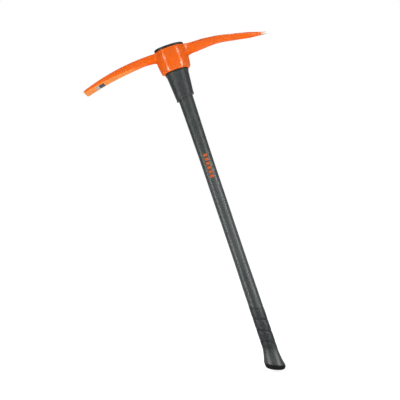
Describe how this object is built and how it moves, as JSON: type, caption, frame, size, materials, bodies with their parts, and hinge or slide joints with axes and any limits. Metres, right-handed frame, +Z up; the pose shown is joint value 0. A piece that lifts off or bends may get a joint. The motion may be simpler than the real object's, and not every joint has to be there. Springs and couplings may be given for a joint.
{
  "type": "pick axe",
  "caption": "Two-armed digging pick: a forged head with a chisel arm and a point arm, bonded to a long oval fibreglass handle with a collar and a grooved, flared grip.",
  "frame": {"origin": "centre of the slanted butt face, on the handle's axis", "axes": "+Z up along the handle to the head, +X towards the point arm, -X towards the chisel arm, +Y across the plane of the head"},
  "size_m": [0.519, 0.07, 0.9129],
  "materials": {
    "head_enamel": "gloss",
    "black_plastic": "satin",
    "cast_resin": "gloss",
    "collar_polymer": "matte",
    "jacket_polymer": "satin",
    "glass_rod": "satin",
    "grip_rubber": "matte",
    "black_rubber": "matte"
  },
  "bodies": {
    "root": {"pick_head": "head_enamel", "top_cap": "black_plastic", "eye_resin": "cast_resin", "seal_ring": "black_rubber", "neck_collar": "collar_polymer", "handle_jacket": "jacket_polymer", "fibreglass_core": "glass_rod", "grip_sleeve": "grip_rubber", "butt_cap": "black_rubber"}
  },
  "joints": []
}
